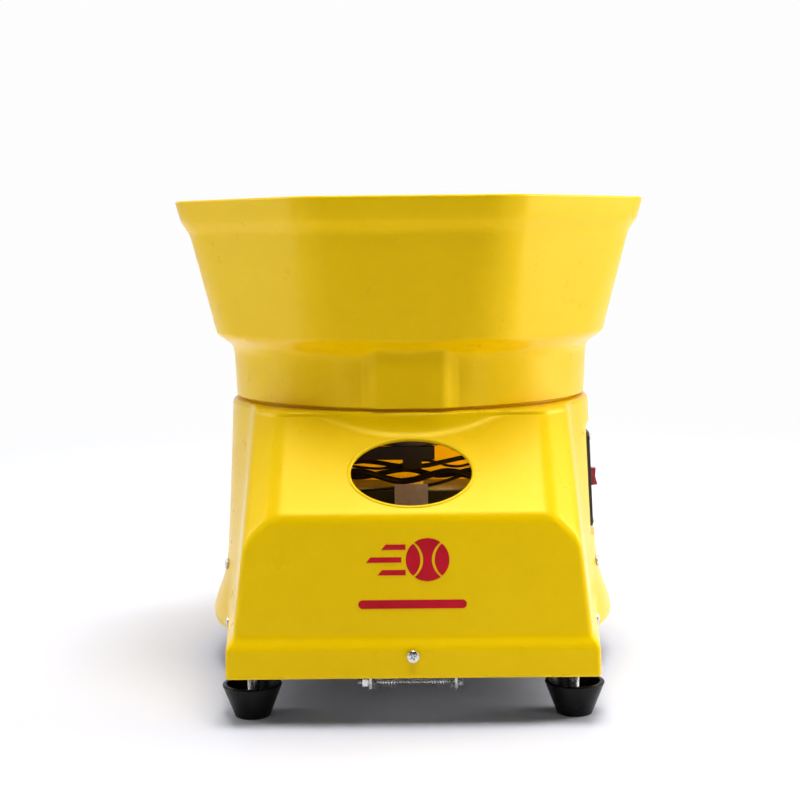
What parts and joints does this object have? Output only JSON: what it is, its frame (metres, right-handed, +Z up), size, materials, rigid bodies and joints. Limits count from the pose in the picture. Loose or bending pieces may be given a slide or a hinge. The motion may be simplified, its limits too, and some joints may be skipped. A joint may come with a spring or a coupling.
{
  "type": "tennis ball machine",
  "caption": "Compact tennis ball machine with a lift-off octagonal ball hopper on a round casing, a box nose with an oval ball outlet, rubber feet and a side switch panel.",
  "frame": {"origin": "centre of the footprint box on the floor", "axes": "+Z up; balls leave towards -Y; +X is the side with the switch panel"},
  "size_m": [0.4052, 0.4458, 0.416],
  "materials": {
    "yellow_casing": "moulded plastic, fine pebble texture, satin",
    "black_plastic": "moulded, satin",
    "black_rubber": "moulded, matt",
    "zinc_steel": "bright zinc plate",
    "black_painted_steel": "black powder coat",
    "red_switch": "moulded, glossy",
    "grey_tread": "pale grey urethane, matt",
    "aluminium": "turned, satin",
    "circuit_board": "green solder mask",
    "green_lens": "clear tinted",
    "grey_plastic": "moulded, matt"
  },
  "bodies": {
    "root": {"base_cover": "yellow_casing", "base_plate": "black_painted_steel", "battery": "black_plastic", "battery_strap": "zinc_steel", "control_board": "circuit_board", "control_panel": "black_plastic", "deck_post_front_left": "aluminium", "deck_post_front_right": "aluminium", "deck_post_rear_left": "aluminium", "deck_post_rear_right": "aluminium", "drop_collar": "grey_plastic", "feed_gearmotor": "grey_plastic", "feeder_deck": "grey_plastic", "foot_front_left": "black_rubber", "foot_front_right": "black_rubber", "foot_rear_left": "black_rubber", "foot_rear_right": "black_rubber", "foot_stud_front_left": "zinc_steel", "foot_stud_front_right": "zinc_steel", "foot_stud_rear_left": "zinc_steel", "foot_stud_rear_right": "zinc_steel", "front_screw": "zinc_steel", "indicator_lens": "green_lens", "panel_screw_1": "zinc_steel", "panel_screw_2": "zinc_steel", "panel_screw_3": "zinc_steel", "panel_screw_4": "zinc_steel", "power_inlet": "black_plastic", "rear_screw_left": "zinc_steel", "rear_screw_right": "zinc_steel", "sensor_bar": "black_painted_steel", "side_screw_lower_left": "zinc_steel", "side_screw_lower_right": "zinc_steel", "side_screw_upper_left": "zinc_steel", "side_screw_upper_right": "zinc_steel", "stand_bracket": "zinc_steel", "stand_nut": "zinc_steel", "stand_pivot_bolt": "zinc_steel", "stand_spring_left": "zinc_steel", "stand_spring_right": "zinc_steel", "switch_frame": "black_plastic", "yaw_gearmotor": "grey_plastic", "yaw_pivot_bolt": "zinc_steel"},
    "hopper": {"hopper": "yellow_casing"},
    "feeder": {"feed_rotor": "grey_plastic", "feed_shaft": "zinc_steel", "rotor_cap": "black_plastic"},
    "head": {"throwing_head_frame": "black_painted_steel", "ball_guide": "grey_tread", "wheel_motor_left": "aluminium", "wheel_motor_right": "aluminium"},
    "yaw_pinion": {"yaw_pinion": "grey_tread"},
    "wheel_left": {"wheel_hub_left": "aluminium", "wheel_tyre_left": "grey_tread", "wheel_nut_left": "zinc_steel"},
    "wheel_right": {"wheel_hub_right": "aluminium", "wheel_tyre_right": "grey_tread", "wheel_nut_right": "zinc_steel"},
    "rocker": {"rocker_switch": "red_switch"},
    "stand": {"front_stand": "zinc_steel"}
  },
  "joints": [
    {"name": "hopper_lift", "type": "slide", "parent": "root", "child": "hopper", "axis": [0, 0, 1], "range_m": [0, 0.08]},
    {"name": "feeder_spin", "type": "hinge", "parent": "root", "child": "feeder", "pos_m": [0, 0.02032, 0.23], "axis": [0, 0, 1], "continuous": true},
    {"name": "head_yaw", "type": "hinge", "parent": "root", "child": "head", "pos_m": [0, -0.03968, 0.05], "axis": [0, 0, 1], "range_deg": [-6, 6]},
    {"name": "pinion_spin", "type": "hinge", "parent": "root", "child": "yaw_pinion", "pos_m": [0, 0.03083, 0.05], "axis": [0, 0, 1], "range_deg": [-35, 35]},
    {"name": "wheel_left_spin", "type": "hinge", "parent": "head", "child": "wheel_left", "pos_m": [-0.072, -0.08618, 0.134], "axis": [0, 0.5736, 0.8192], "continuous": true},
    {"name": "wheel_right_spin", "type": "hinge", "parent": "head", "child": "wheel_right", "pos_m": [0.072, -0.08618, 0.134], "axis": [0, 0.5736, 0.8192], "continuous": true},
    {"name": "rocker_press", "type": "hinge", "parent": "root", "child": "rocker", "pos_m": [0.1598, 0.00032, 0.16504], "axis": [0, 1, 0], "range_deg": [0, 8]},
    {"name": "stand_swing", "type": "hinge", "parent": "root", "child": "stand", "pos_m": [0, -0.17968, 0.027], "axis": [-1, 0, 0], "range_deg": [0, 100]}
  ],
  "couplings": [
    {"joint": "pinion_spin", "follows": "head_yaw", "ratio": -5.7143}
  ]
}
